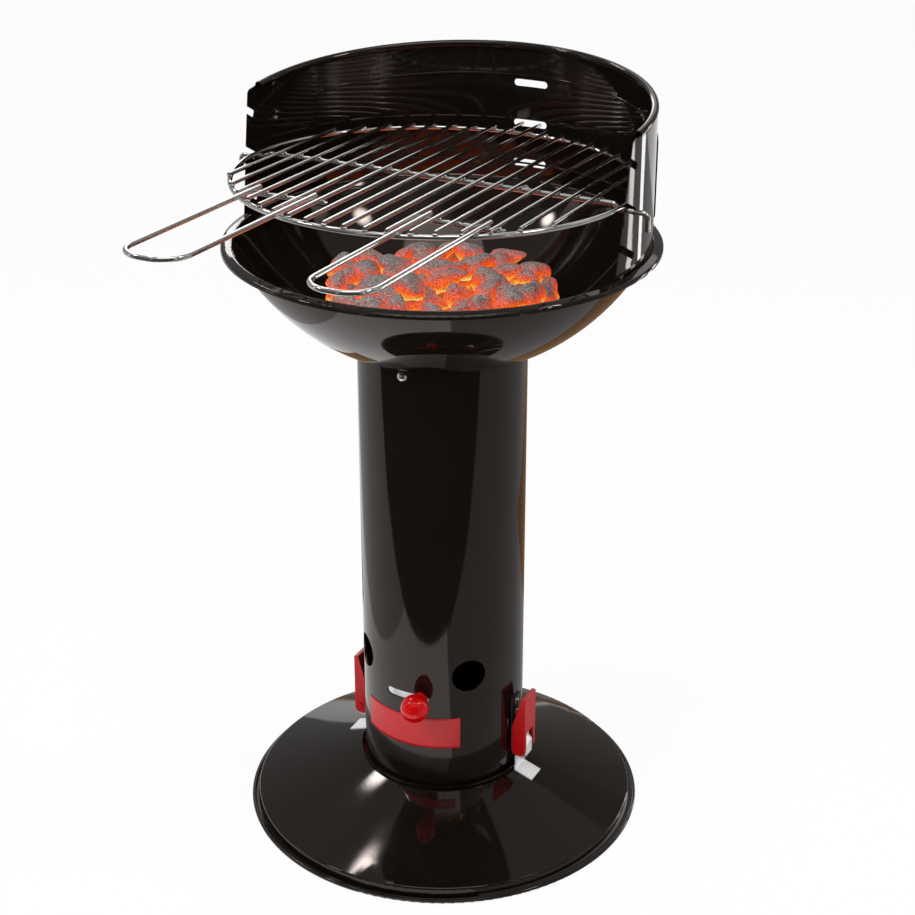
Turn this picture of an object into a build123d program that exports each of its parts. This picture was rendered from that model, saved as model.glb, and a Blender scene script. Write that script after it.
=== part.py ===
import os
from math import acos, asin, atan2, ceil, cos, degrees, hypot, radians, sin, sqrt, tan

from build123d import *

os.makedirs("parts", exist_ok=True)

# Charcoal grill on a pillar. Millimetres and degrees, +Z up, origin on the floor on the
# pillar's axis. The front faces -Y, and bearings are counted from it towards +X.

# Fits shared by several pieces
seat_gap = 0.3  # pressed pieces that rest on each other
run_gap = 0.05  # play of a pin in a hole it turns in
pin_gap = 0.03  # a fixed pin or bolt in its own hole
hole_gap = 0.25  # a bolt through a clearance hole
weld_gap = 0.1  # wires that are welded where they cross

# Base and ash basin
base_radius = 215.0
base_sheet = 1.2
foot_roll = 2.2
foot_width = 8.0
skirt_top = 13.0
cone_top = 54.5
lip_overhang = 0.5  # lip of the basin past the flat top of the cone
basin_sheet = 1.0
basin_inset = 7.25  # wall of the basin inside the pillar's outer face
basin_taper = 4.0
basin_floor = 12.0
basin_lip = 5.5
basin_bend = 2.5
lip_gap = 3.25  # between the pillar and the basin's lip

# Pillar, air holes and damper. Rises are counted from the top of the cone.
pillar_radius = 86.75
pillar_wall = 1.0
air_hole_radius = 18.5
air_hole_rise = 138.3
air_hole_bearings = (45, 135, 225, 315)
slot_rise = 111.2
slot_length = 50.0
slot_width = 9.0
damper_gap = 0.1
damper_wall = 0.8
damper_hole_step = 0.5  # air holes of the sleeve are larger by this
damper_below_slot = 13.2
damper_above_holes = 5.7
damper_split = 10.0
knob_bearing = 10.5
knob_radius = 15.0
knob_reach = 20.0  # ball centre from the pillar
knob_collar = 8.0
knob_neck = 6.5
damper_screw_radius = 2.5

# Latches, one on each side. The tongue hangs on a pin just above the lever's pivot.
lever_stand = 18.25  # face of the lever from the pillar
lever_depth = 16.0
lever_tip_depth = 4.7
lever_width = 26.4
lever_wall = 1.8
lever_over_keeper = 2.0
lever_length = 72.5
lever_knee_rise = 33.0  # full depth from its foot up to here
pivot_rise = 10.0  # pivot above the lever's foot
pivot_pin_radius = 1.6
ear_margin = 2.6
ear_sheet = 1.8
ear_side_gap = 0.6
bracket_sheet = 1.5
bracket_below_pivot = 7.0
bracket_below_lever = 5.5
bracket_rivet_drops = (20.0, 7.0)
bail_throw = 10.0  # pin of the tongue above the pivot
bail_over_centre = 1.0
bail_pin_radius = 1.25
bail_sheet = 1.5
bail_width = 16.0
bail_side_gap = 0.8
bail_rib = 0.6
arch_margin = 1.2
arch_corner = 5.0
keeper_sheet = 1.5
keeper_width = 23.0
keeper_web_width = 20.0
keeper_length = 21.0
keeper_rise = 18.5
hook_overlap = 7.2

# Bowl: under surface of a ball with a smaller heel radius, a neck and a turned rim
bowl_sheet = 1.2
bowl_seat = 543.5  # height of its heel on the pillar's top edge
bowl_depth = 104.9
heel_width = 38.25  # heel past the pillar's outer face
heel_rise = 7.08
neck_length = 27.0
neck_gap = 0.25
neck_bend = 2.5
wall_drop = 12.4  # from here the wall runs straight to the rim
wall_inset = 17.09
rim_radius = 218.0
rim_fall = 2.2
rim_lip = 2.6
bowl_bolt_drop = 12.2
bowl_bolt_bearings = (0, 120, 240)
bowl_bolt_radius = 3.0
bowl_bolt_head = 5.4
bowl_nut_across = 10.0
bowl_nut_height = 5.0

# Windshield. Rises are counted from the crown of the rim.
wind_inset = 11.0  # inside the rim's edge
wind_wall = 1.0
wind_rise = 129.2  # middle of the rolled top edge at the pillar's axis
wind_slope = 0.0818  # rise of the top edge towards the back
wind_bead = 4.0
wind_bead_proud = 0.6  # bead past the outside of the sheet
wind_bead_inset = 17.0  # bead begins this far behind the end of the sheet
wind_end_y = -43.8  # front end of the sheet at the rim
wind_end_rake = 0.18
wind_corner = 2.5
panel_front = 79.5
panel_rise = 19.6
panel_drop = 31.5
panel_step = 0.5  # each of its three steps outward
panel_border = 0.7
panel_overlap = 0.6
panel_corner = 13.0
level_pitch = 43.0  # three heights for the cooking grid
notch_slope = 29.0
notch_width = 7.0
notch_corner = 1.5
back_slot_length = 38.0
back_slot_width = 7.5
tab_inset = 29.4  # middle of a front tab behind the end of the sheet
tab_half_angle = 3.5
tab_length = 18.0
wind_bolt_radius = 2.5
wind_bolt_rise = 4.0  # up the straight part of the bowl's wall
wind_bolt_head = 4.6
wind_nut_across = 8.0
wind_nut_height = 4.0
wind_bolt_end = 5.0  # bolt past its nut

# Cooking grid, leaning a little with its front higher
grid_y = -14.0
grid_rise = 64.1  # above the rim's crown
grid_lean = 1.7
ring_gap = 9.5  # ring inside the windshield
ring_wire = 2.5
bar_wire = 2.0
bar_pitch = 20.0
bar_edge = 20.0  # no bar nearer than this to the ring's side
long_bar_past = 2.5  # past the windshield
cross_past = 14.0
cross_drop = 17.0
stub_inset = 66.5  # from the ring's front
stub_past = 16.0  # past the inner leg of a handle
stub_end_gap = 10.8
handle_legs = (60.0, 120.0)
handle_inset = 71.5
handle_reach = 161.0
handle_corner = 26.0

# Charcoal grate and the lumps on it
grate_overlap = 13.0  # ring of the grate past the neck
grate_pitch = 18.0
lump_pitch = 42.0
lump_size = 23.0
lump_rise = 23.0
lump_reach_past = (-11.0, 5.0, -37.0)  # layers past the grate's ring
lump_gap = 0.5


def outward(bearing):
    return Vector(sin(radians(bearing)), -cos(radians(bearing)), 0)


def facing(bearing, height):
    # A plane on the pillar's axis that faces outward, its second direction up.
    side = Vector(cos(radians(bearing)), sin(radians(bearing)), 0)
    return Plane(origin=(0, 0, height), x_dir=side, z_dir=outward(bearing))


def section(bearing):
    # An upright plane through the axis: first direction outward, second up.
    out = outward(bearing)
    return Plane(origin=(0, 0, 0), x_dir=out, z_dir=out.cross(Vector(0, 0, 1)))


def turning_plane(bearing, radius, height, dip=0):
    # For turned pieces: first direction along the piece, outward and dipping.
    flat = outward(bearing)
    out = flat * cos(radians(dip)) - Vector(0, 0, sin(radians(dip)))
    up = flat * sin(radians(dip)) + Vector(0, 0, cos(radians(dip)))
    return Plane(origin=flat * radius + Vector(0, 0, height), x_dir=out, z_dir=out.cross(up))


def along(plane, distance):
    # The plane square to a turned piece's axis, at a distance along it.
    return Plane(origin=plane.origin + plane.x_dir * distance, x_dir=plane.y_dir, z_dir=plane.x_dir)


def dome_bolt(plane, head, head_rise, shank, length):
    rim = 0.8
    ball = ((head_rise - rim) ** 2 + head**2) / (2 * (head_rise - rim))
    half_turn = asin(head / ball) / 2
    crest = (head_rise - ball + ball * cos(half_turn), ball * sin(half_turn))
    with BuildSketch(plane) as half:
        with BuildLine():
            Polyline((head_rise, 0), (-length, 0), (-length, shank), (0, shank), (0, head), (rim, head))
            ThreePointArc((rim, head), crest, (head_rise, 0))
        make_face()
    revolve(half.sketch, axis=Axis(plane.origin, plane.x_dir))


def hex_nut(plane, distance, across, height, bore):
    with BuildSketch(along(plane, distance)) as face:
        RegularPolygon(across / 2, 6, major_radius=False)
        Circle(bore, mode=Mode.SUBTRACT)
    extrude(face.sketch, amount=-height)


def round_hole(plane, radius, back, front):
    with BuildSketch(along(plane, -back)) as face:
        Circle(radius)
    extrude(face.sketch, amount=back + front, mode=Mode.SUBTRACT)


def save(builder, name):
    builder.part.label = name
    export_step(builder.part, f"parts/{name}.step")


# Radii round the pillar's foot
basin_radius = pillar_radius - basin_inset
basin_lip_radius = pillar_radius + lip_gap + basin_sheet
cone_top_radius = basin_lip_radius - lip_overhang
skirt_radius = base_radius - foot_width

# Base plate: a pressed cone with a short skirt and a flat foot that ends in a rolled edge.
base_slope = (cone_top - skirt_top) / (skirt_radius - cone_top_radius)
basin_hole = basin_radius + basin_bend + seat_gap

with BuildPart() as base_plate:
    with BuildSketch(Plane.XZ):
        with BuildLine():
            FilletPolyline(
                (base_radius - foot_roll, base_sheet),
                (skirt_radius, base_sheet),
                (skirt_radius, skirt_top),
                (cone_top_radius, cone_top),
                (basin_hole, cone_top),
                radius=[1.2, 3.0, 6.0],
            )
            offset(amount=base_sheet, side=Side.LEFT)
        make_face()
        with Locations((base_radius - foot_roll, foot_roll)):
            Circle(foot_roll)
    revolve(axis=Axis.Z)
save(base_plate, "base_plate")

# Ash basin: a drawn cup hung in the base by its flange, with an upturned lip.
with BuildPart() as ash_basin:
    with BuildSketch(Plane.XZ):
        with BuildLine():
            FilletPolyline(
                (basin_lip_radius, cone_top + basin_lip),
                (basin_lip_radius, cone_top),
                (basin_radius, cone_top),
                (basin_radius - basin_taper, basin_floor),
                (0, basin_floor),
                radius=[basin_bend, basin_bend, 8.0],
            )
            offset(amount=basin_sheet, side=Side.RIGHT)
        make_face()
    revolve(axis=Axis.Z)
save(ash_basin, "ash_basin")

# Heights and radii that follow for the pillar and the bowl's neck
pillar_foot = cone_top + basin_sheet
pillar_bore = pillar_radius - pillar_wall
neck_radius = pillar_bore - neck_gap
air_hole_height = cone_top + air_hole_rise
slot_height = cone_top + slot_rise
keeper_ledge_top = cone_top + keeper_rise
lever_low = keeper_ledge_top + lever_over_keeper
lever_top = lever_low + lever_length
lever_knee = lever_low + lever_knee_rise
pivot_height = lever_low + pivot_rise
bracket_low = pivot_height - bracket_below_pivot
bracket_top = lever_top - bracket_below_lever
bracket_rivet_heights = [bracket_top - drop for drop in bracket_rivet_drops]
bowl_bolt_height = bowl_seat - bowl_bolt_drop
pillar_top = bowl_seat - neck_bend + sqrt(neck_bend**2 - (neck_bend - neck_gap) ** 2) - 0.25
bracket_back = pillar_radius + seat_gap
bracket_face = bracket_back + bracket_sheet
bowl_bolt_planes = [turning_plane(b, pillar_radius + 0.05, bowl_bolt_height) for b in bowl_bolt_bearings]

# Pillar: a rolled sheet tube.
with BuildPart() as pillar_tube:
    with BuildSketch(Plane.XY.offset(pillar_foot)):
        Circle(pillar_radius)
        Circle(pillar_bore, mode=Mode.SUBTRACT)
    extrude(amount=pillar_top - pillar_foot)
    for bearing in air_hole_bearings:
        with BuildSketch(facing(bearing, air_hole_height)):
            Circle(air_hole_radius)
        extrude(amount=pillar_radius + 5, mode=Mode.SUBTRACT)
    with BuildSketch(facing(0, slot_height)):
        SlotOverall(slot_length, slot_width)
    extrude(amount=pillar_radius + 5, mode=Mode.SUBTRACT)
    for plane in bowl_bolt_planes:
        round_hole(plane, bowl_bolt_radius + hole_gap, 10, 5)
    for bearing in (90, 270):
        for height in bracket_rivet_heights:
            round_hole(turning_plane(bearing, pillar_radius, height), 2 + pin_gap, 10, 5)
save(pillar_tube, "pillar_tube")

# Damper: a split sleeve that springs against the inside of the pillar and carries the knob.
damper_radius = pillar_bore - damper_gap
damper_hole_radius = air_hole_radius + damper_hole_step
damper_low = slot_height - slot_width / 2 - damper_below_slot
damper_high = air_hole_height + air_hole_radius + damper_above_holes
knob_plane = turning_plane(knob_bearing, damper_radius, slot_height)
collar_face = pillar_radius - damper_radius + 0.4
ball_centre = pillar_radius + knob_reach - damper_radius
neck_meets_ball = ball_centre - sqrt(knob_radius**2 - knob_neck**2)

with BuildPart() as damper_ring:
    with BuildSketch(Plane.XY.offset(damper_low)):
        Circle(damper_radius)
        Circle(damper_radius - damper_wall, mode=Mode.SUBTRACT)
        with Locations((0, damper_radius)):
            Rectangle(damper_split, 10, mode=Mode.SUBTRACT)
    extrude(amount=damper_high - damper_low)
    for bearing in air_hole_bearings:
        with BuildSketch(facing(bearing, air_hole_height)):
            Circle(damper_hole_radius)
        extrude(amount=pillar_radius, mode=Mode.SUBTRACT)
    round_hole(knob_plane, damper_screw_radius + pin_gap, 5, 5)
save(damper_ring, "damper_ring")

with BuildPart() as damper_knob:
    with BuildSketch(knob_plane):
        with BuildLine():
            Polyline(
                (ball_centre + knob_radius, 0),
                (0, 0),
                (0, slot_width / 2 - seat_gap),
                (collar_face, slot_width / 2 - seat_gap),
                (collar_face, knob_collar),
                (collar_face + 2.5, knob_collar),
                (collar_face + 3.5, knob_neck),
                (neck_meets_ball, knob_neck),
            )
            ThreePointArc(
                (neck_meets_ball, knob_neck),
                (ball_centre, knob_radius),
                (ball_centre + knob_radius, 0),
            )
        make_face()
    revolve(axis=Axis(knob_plane.origin, knob_plane.x_dir))
    round_hole(knob_plane, damper_screw_radius + pin_gap, 1, ball_centre - 2)
save(damper_knob, "damper_knob")

with BuildPart() as damper_screw:
    with BuildSketch(along(knob_plane, -damper_wall - 6)):
        Circle(damper_screw_radius)
    extrude(amount=damper_wall + 6 + ball_centre - 3)
save(damper_screw, "damper_screw")

with BuildPart() as damper_nut:
    hex_nut(knob_plane, -damper_wall - 0.15, 8, 4, damper_screw_radius + pin_gap)
save(damper_nut, "damper_nut")

# Latch sizes that follow
lever_face = pillar_radius + lever_stand
lever_half = lever_width / 2
lever_inner_half = lever_half - lever_wall
ear_half = lever_inner_half - ear_side_gap
ear_inner_half = ear_half - ear_sheet
ear_radius = pivot_pin_radius + ear_margin
lever_inner_face = lever_face - lever_wall
pivot_radius = lever_inner_face - ear_radius - seat_gap
bail_radius = pivot_radius - bail_over_centre
bail_height = pivot_height + bail_throw
bail_half = min(bail_width / 2, ear_inner_half - bail_side_gap)
bail_eye = bail_pin_radius + 1.25
strap_face = lever_inner_face - 1.0
ledge_edge = strap_face - 0.8
ledge_under = keeper_ledge_top - keeper_sheet
hook_top = ledge_under - seat_gap
web_face = basin_lip_radius + 1.0
arch_half = bail_half + arch_margin
arch_top = pivot_height + bail_throw + strap_face - bail_radius + bail_sheet + bail_rib + 2.4


def cone_height(radius):
    return cone_top + (cone_top_radius - radius) * base_slope


for side, bearing in (("left", 270), ("right", 90)):
    upright = section(bearing)
    across = upright.z_dir
    pivot = upright.from_local_coords((pivot_radius, pivot_height, 0))
    bail_axis = upright.from_local_coords((bail_radius, bail_height, 0))

    # Keeper: a bent plate welded to the cone, with a ledge that the tongue hooks under.
    with BuildPart() as keeper:
        with BuildSketch(upright):
            with BuildLine():
                keeper_end = web_face + keeper_length
                FilletPolyline(
                    (keeper_end, cone_height(keeper_end) + weld_gap),
                    (web_face, cone_height(web_face) + weld_gap),
                    (web_face, keeper_ledge_top),
                    (ledge_edge, keeper_ledge_top),
                    radius=2.2,
                )
                offset(amount=keeper_sheet, side=Side.RIGHT)
            make_face()
        extrude(amount=keeper_width / 2, both=True)
        with BuildSketch(upright):
            with Locations((web_face + 10, cone_top + 5 + 15)):
                Rectangle(30, 30)
        extrude(amount=keeper_width, both=True, mode=Mode.SUBTRACT)
        with BuildSketch(upright):
            with BuildLine():
                FilletPolyline(
                    (web_face, cone_top + 4),
                    (web_face, keeper_ledge_top),
                    (ledge_edge, keeper_ledge_top),
                    radius=2.2,
                )
                offset(amount=keeper_sheet, side=Side.RIGHT)
            make_face()
        extrude(amount=keeper_web_width / 2, both=True)
    save(keeper, f"keeper_{side}")

    # Bracket: a U of sheet riveted to the pillar, its ears carry the lever.
    with BuildPart() as bracket:
        with BuildSketch(upright):
            with Locations((bracket_back + bracket_sheet / 2, (bracket_low + bracket_top) / 2)):
                Rectangle(bracket_sheet, bracket_top - bracket_low)
        extrude(amount=ear_half, both=True)
        with BuildSketch(upright):
            with BuildLine():
                Polyline(
                    (bracket_face - 0.5, pivot_height - ear_radius),
                    (pivot_radius, pivot_height - ear_radius),
                    (pivot_radius, pivot_height + ear_radius),
                    (bracket_face + 4, pivot_height + 6),
                    (bracket_face - 0.5, pivot_height + 12),
                    close=True,
                )
            make_face()
            with Locations((pivot_radius, pivot_height)):
                Circle(ear_radius)
                Circle(pivot_pin_radius + pin_gap, mode=Mode.SUBTRACT)
        extrude(amount=ear_half, both=True)
        with BuildSketch(upright):
            with Locations((bracket_face + 15, pivot_height + 5)):
                Rectangle(30, 40)
        extrude(amount=ear_inner_half, both=True, mode=Mode.SUBTRACT)
        for height in bracket_rivet_heights:
            round_hole(turning_plane(bearing, bracket_face, height), 2 + pin_gap, 5, 5)
    save(bracket, f"latch_bracket_{side}")

    # Lever: a folded channel with an arch cut out of its face for the tongue.
    with BuildPart() as lever:
        with BuildSketch(upright) as outline:
            with BuildLine():
                Polyline(
                    (lever_face, lever_low),
                    (lever_face, lever_top),
                    (lever_face - lever_tip_depth, lever_top),
                    (lever_face - lever_depth, lever_knee),
                    (lever_face - lever_depth, lever_low),
                    close=True,
                )
            make_face()
            low_corners = outline.vertices().group_by(Axis.Y)[0]
            fillet(low_corners, radius=6.5)
            fillet(outline.vertices().group_by(Axis.Y)[-1], radius=1.0)
        extrude(amount=lever_half, both=True)
        with BuildSketch(upright):
            with Locations((lever_inner_face - 25, (lever_low + lever_top) / 2 - lever_wall)):
                Rectangle(50, lever_top - lever_low)
        extrude(amount=lever_inner_half, both=True, mode=Mode.SUBTRACT)
        with BuildSketch(facing(bearing, 0)) as arch:
            with Locations((0, (lever_low - 10 + arch_top) / 2)):
                Rectangle(2 * arch_half, arch_top - lever_low + 10)
            fillet(arch.vertices().group_by(Axis.Y)[-1], radius=arch_corner)
        extrude(amount=lever_face + 10, mode=Mode.SUBTRACT)
        with BuildSketch(upright):
            with Locations((pivot_radius, pivot_height)):
                Circle(pivot_pin_radius + run_gap)
            with Locations((bail_radius, bail_height)):
                Circle(bail_pin_radius + pin_gap)
        extrude(amount=lever_width, both=True, mode=Mode.SUBTRACT)
    save(lever, f"latch_lever_{side}")

    # Pin of the tongue, across the lever.
    with BuildPart() as bail_pin:
        with BuildSketch(Plane(origin=bail_axis, z_dir=across)):
            Circle(bail_pin_radius)
        extrude(amount=lever_half, both=True)
    save(bail_pin, f"bail_pin_{side}")

    # Tongue: a plated strap with a rolled eye, a ribbed face and a hook at its foot.
    with BuildPart() as bail:
        with BuildSketch(upright):
            with BuildLine():
                FilletPolyline(
                    (bail_radius + 0.3, bail_height - bail_eye + 0.6),
                    (strap_face, bail_height - 7.5),
                    (strap_face, hook_top),
                    (ledge_edge - hook_overlap, hook_top),
                    radius=1.6,
                )
                offset(amount=bail_sheet, side=Side.LEFT)
            make_face()
            with Locations((bail_radius, bail_height)):
                Circle(bail_eye)
            for rib in range(4):
                with Locations((strap_face + bail_sheet, hook_top + 3.2 + 3.6 * rib)):
                    Circle(bail_rib)
            with Locations((bail_radius, bail_height)):
                Circle(bail_pin_radius + run_gap, mode=Mode.SUBTRACT)
        extrude(amount=bail_half, both=True)
    save(bail, f"latch_bail_{side}")

# Short rivets that the levers turn on, two to a latch.
with BuildPart() as latch_pivots:
    for bearing in (90, 270):
        upright = section(bearing)
        pivot = upright.from_local_coords((pivot_radius, pivot_height, 0))
        for across in (upright.z_dir, upright.z_dir * -1):
            with BuildSketch(Plane(origin=pivot + across * ear_inner_half, z_dir=across)):
                Circle(pivot_pin_radius)
            extrude(amount=lever_half - ear_inner_half + seat_gap)
            with BuildSketch(Plane(origin=pivot + across * (lever_half + seat_gap), z_dir=across)):
                Circle(pivot_pin_radius + 1.4)
            extrude(amount=1.1)
save(latch_pivots, "latch_pivots")

# Rivets of the brackets, two each, closed inside the pillar.
with BuildPart() as bracket_rivets:
    for bearing in (90, 270):
        for height in bracket_rivet_heights:
            plane = turning_plane(bearing, bracket_face, height)
            dome_bolt(plane, 3.5, 2.0, 2.0, bracket_face - pillar_bore + 0.5)
            with BuildSketch(along(plane, pillar_bore - bracket_face - 0.12)):
                Circle(3.2)
            extrude(amount=-1.4)
save(bracket_rivets, "bracket_rivets")

# Bowl: outline of its under side, from the neck in the pillar to the turned rim.
rim_crown = bowl_seat + bowl_depth
rim_edge = rim_crown - rim_fall
straight_point = Vector(rim_radius - wall_inset, rim_crown - wall_drop)
heel_end = Vector(neck_radius + neck_bend, bowl_seat)
under_heel = heel_end - Vector(0, heel_rise)
ball_span = straight_point.dot(straight_point) - under_heel.dot(under_heel)
bowl_ball_height = ball_span / (2 * (straight_point.Y - under_heel.Y))
bowl_ball = (under_heel - Vector(0, bowl_ball_height)).length
heel_start = pillar_radius + heel_width
heel_dir = Vector(heel_start, -sqrt(bowl_ball**2 - heel_start**2)) / bowl_ball
heel_point = Vector(heel_start, bowl_ball_height - sqrt(bowl_ball**2 - heel_start**2))
heel_chord = heel_end - heel_point
heel_radius = -heel_chord.dot(heel_chord) / (2 * heel_chord.dot(heel_dir))
heel_centre = heel_point - heel_dir * heel_radius
wall_dir = Vector(bowl_ball_height - straight_point.Y, straight_point.X) / bowl_ball
crown = straight_point + wall_dir * (wall_drop / wall_dir.Y)
ball_middle = Vector(0, bowl_ball_height) + (
    (heel_point + straight_point) / 2 - Vector(0, bowl_ball_height)
).normalized() * bowl_ball
heel_middle = heel_centre + ((heel_point + heel_end) / 2 - heel_centre).normalized() * heel_radius
wall_dip = degrees(atan2(wall_dir.X, wall_dir.Y))
rim_inner = rim_radius - bowl_sheet

# Windshield tabs lie along the wall inside the bowl, and their bolts stand square to it.
wind_radius = rim_radius - wind_inset
tab_bearing = degrees(acos(-(wind_end_y + tab_inset) / wind_radius))
tab_bearings = (tab_bearing, 180.0, 360.0 - tab_bearing)
tab_offset = bowl_sheet + seat_gap
tab_top = straight_point.Y + (
    wind_radius - straight_point.X + tab_offset / wall_dir.Y
) * wall_dir.Y / wall_dir.X
wind_bolt_point = straight_point + wall_dir * wind_bolt_rise
wind_bolt_planes = [
    turning_plane(b, wind_bolt_point.X, wind_bolt_point.Y, wall_dip) for b in tab_bearings
]

with BuildPart() as bowl:
    with BuildSketch(Plane.XZ):
        with BuildLine():
            neck = Line(
                (neck_radius, bowl_seat - neck_bend - neck_length),
                (neck_radius, bowl_seat - neck_bend),
            )
            ThreePointArc(
                neck @ 1,
                (
                    neck_radius + neck_bend * (1 - cos(radians(45))),
                    bowl_seat - neck_bend * (1 - sin(radians(45))),
                ),
                heel_end,
            )
            ThreePointArc(heel_end, heel_middle, heel_point)
            ThreePointArc(heel_point, ball_middle, straight_point)
            FilletPolyline(
                straight_point,
                crown,
                (rim_inner, rim_edge),
                (rim_inner, rim_edge - rim_lip),
                radius=[3.2, 1.6],
            )
            offset(amount=bowl_sheet, side=Side.LEFT)
        make_face()
    revolve(axis=Axis.Z)
    for plane in bowl_bolt_planes:
        round_hole(plane, bowl_bolt_radius + hole_gap, 10, 5)
    for plane in wind_bolt_planes:
        round_hole(plane, wind_bolt_radius + hole_gap, 8, 5)
save(bowl, "bowl")

# Dome bolts through the pillar and the neck, with their nuts inside.
bowl_bolt_grip = pillar_wall + neck_gap + bowl_sheet + 0.1

with BuildPart() as bowl_bolts:
    for plane in bowl_bolt_planes:
        dome_bolt(plane, bowl_bolt_head, 4.2, bowl_bolt_radius, bowl_bolt_grip + bowl_nut_height + 2)
save(bowl_bolts, "bowl_bolts")

with BuildPart() as bowl_nuts:
    for plane in bowl_bolt_planes:
        hex_nut(plane, -bowl_bolt_grip - 0.25, bowl_nut_across, bowl_nut_height, bowl_bolt_radius + pin_gap)
save(bowl_nuts, "bowl_nuts")

# Windshield: a bent sheet whose top edge is rolled inward and rises to the back.
wind_height = rim_crown + wind_rise
wind_low = tab_top + 0.5
panel_low = rim_crown + panel_rise
grid_height = rim_crown + grid_rise
notch_height = grid_height - ring_wire * 2 - weld_gap + notch_width / 2 - ring_wire - seat_gap


def top_edge(y):
    return wind_height + wind_slope * y


def end_edge(height):
    return wind_end_y + (height - rim_crown) * wind_end_rake


# Cooking grid plane: first direction +X, second towards the back along the leaning grid.
lean_up = Vector(0, sin(radians(grid_lean)), cos(radians(grid_lean)))
grid_plane = Plane(origin=(0, grid_y, grid_height), x_dir=(1, 0, 0), z_dir=lean_up)
bar_level = ring_wire + bar_wire + weld_gap
leg_level = 2 * ring_wire + weld_gap
long_bar_height = grid_height + bar_level - (wind_radius - grid_y) * tan(radians(grid_lean))
back_slot_height = long_bar_height + back_slot_width / 2 - bar_wire - 1.0


def panel_outline(shrink):
    # The raised panel as it looks from the side.
    front = panel_front + shrink
    low = panel_low + shrink
    back = wind_radius + 20
    high = top_edge(front) - panel_drop - shrink
    with BuildSketch(Plane.YZ) as panel:
        with BuildLine():
            Polyline(
                (front, low),
                (back, low),
                (back, top_edge(back) - panel_drop - shrink),
                (front, high),
                close=True,
            )
        make_face()
        fillet(panel.vertices().group_by(Axis.X)[0], radius=panel_corner - shrink)
    return panel.sketch


def pressed_layer(level):
    # One layer of the panel's stepped border; the last layer is the panel itself.
    with BuildPart() as layer:
        with BuildSketch(Plane.XY.offset(wind_low)):
            Circle(wind_radius + level * panel_step)
            Circle(wind_radius + level * panel_step - wind_wall, mode=Mode.SUBTRACT)
        extrude(amount=rim_radius)
        outline = panel_outline((level - 1) * panel_border)
        extrude(outline, amount=wind_radius + 20, both=True, mode=Mode.INTERSECT)
    return layer.part


bead_middle = wind_radius + wind_bead_proud - wind_bead
bead_end = end_edge(wind_height) + wind_bead_inset

with BuildPart() as top_bead:
    with BuildSketch(Plane(origin=(0, 0, wind_height), x_dir=(0, 1, wind_slope), z_dir=(1, 0, 0))):
        with Locations((bead_middle, 0)):
            Circle(wind_bead)
            Circle(wind_bead - wind_wall, mode=Mode.SUBTRACT)
    revolve(axis=Axis((0, 0, wind_height), (0, -wind_slope, 1)))
    split(bisect_by=Plane(origin=(0, bead_end, 0), z_dir=(0, 1, 0)), keep=Keep.TOP)

with BuildPart() as windshield:
    with BuildSketch(Plane.XY.offset(wind_low)):
        Circle(wind_radius)
        Circle(wind_radius - wind_wall, mode=Mode.SUBTRACT)
    extrude(amount=rim_radius)
    with BuildSketch(Plane.YZ):
        with BuildLine():
            far = wind_radius + 40
            Polyline(
                (-far, top_edge(-far)),
                (far, top_edge(far)),
                (far, top_edge(far) + 150),
                (-far, top_edge(-far) + 150),
                close=True,
            )
        make_face()
    extrude(amount=far, both=True, mode=Mode.SUBTRACT)
    # The panel is pressed outward in three small steps that overlap at their borders.
    for level in (1, 2, 3):
        outline = panel_outline((level - 1) * panel_border + panel_overlap)
        extrude(outline, amount=wind_radius + 20, both=True, mode=Mode.SUBTRACT)
        add(pressed_layer(level))
    with BuildSketch(Plane.YZ):
        with BuildLine():
            corner = end_edge(wind_height)
            corner_height = top_edge(corner)
            Polyline(
                (end_edge(wind_low - 1), wind_low - 1),
                (end_edge(corner_height - wind_corner), corner_height - wind_corner),
                (corner + wind_corner, corner_height + wind_slope * wind_corner),
                (corner + wind_corner + 1, corner_height + 60),
                (far, top_edge(far) + 60),
                (far, wind_low - 1),
                close=True,
            )
        make_face()
    extrude(amount=far, both=True, mode=Mode.INTERSECT)
    add(top_bead.part)
    # Three slanted notches in each end, and three slots at the back, for the three heights.
    notch_run = 55
    with BuildSketch(Plane.YZ):
        for level in (-1, 0, 1):
            mid_y = grid_y - notch_run / 2 * cos(radians(notch_slope))
            mid_z = notch_height + level * level_pitch + notch_run / 2 * sin(radians(notch_slope))
            with Locations((mid_y, mid_z)):
                RectangleRounded(notch_run + notch_width, notch_width, notch_corner, rotation=-notch_slope)
    extrude(amount=far, both=True, mode=Mode.SUBTRACT)
    for level in (-1, 0, 1):
        with BuildSketch(facing(180, back_slot_height + level * level_pitch)):
            SlotOverall(back_slot_length, back_slot_width)
        extrude(amount=far, mode=Mode.SUBTRACT)
    # Tabs at the foot, bent to the bowl's wall.
    for bearing in tab_bearings:
        with BuildSketch(section(bearing - tab_half_angle)):
            with BuildLine():
                FilletPolyline(
                    (wind_radius, tab_top + 8),
                    (wind_radius, tab_top),
                    (wind_radius - tab_length * wall_dir.X, tab_top - tab_length * wall_dir.Y),
                    radius=4,
                )
                offset(amount=wind_wall, side=Side.RIGHT)
            make_face()
        revolve(axis=Axis.Z, revolution_arc=2 * tab_half_angle)
    for plane in wind_bolt_planes:
        round_hole(plane, wind_bolt_radius + hole_gap, 8, 5)
save(windshield, "windshield")

# Bolts of the windshield: heads under the rim, nuts inside.
wind_bolt_grip = bowl_sheet + seat_gap + wind_wall
wind_bolt_length = wind_bolt_grip + wind_nut_height + wind_bolt_end

with BuildPart() as windshield_bolts:
    for plane in wind_bolt_planes:
        dome_bolt(plane, wind_bolt_head, 3.6, wind_bolt_radius, wind_bolt_length)
save(windshield_bolts, "windshield_bolts")

with BuildPart() as windshield_nuts:
    for plane in wind_bolt_planes:
        hex_nut(plane, -wind_bolt_grip - 0.2, wind_nut_across, wind_nut_height, wind_bolt_radius + pin_gap)
save(windshield_nuts, "windshield_nuts")

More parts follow.
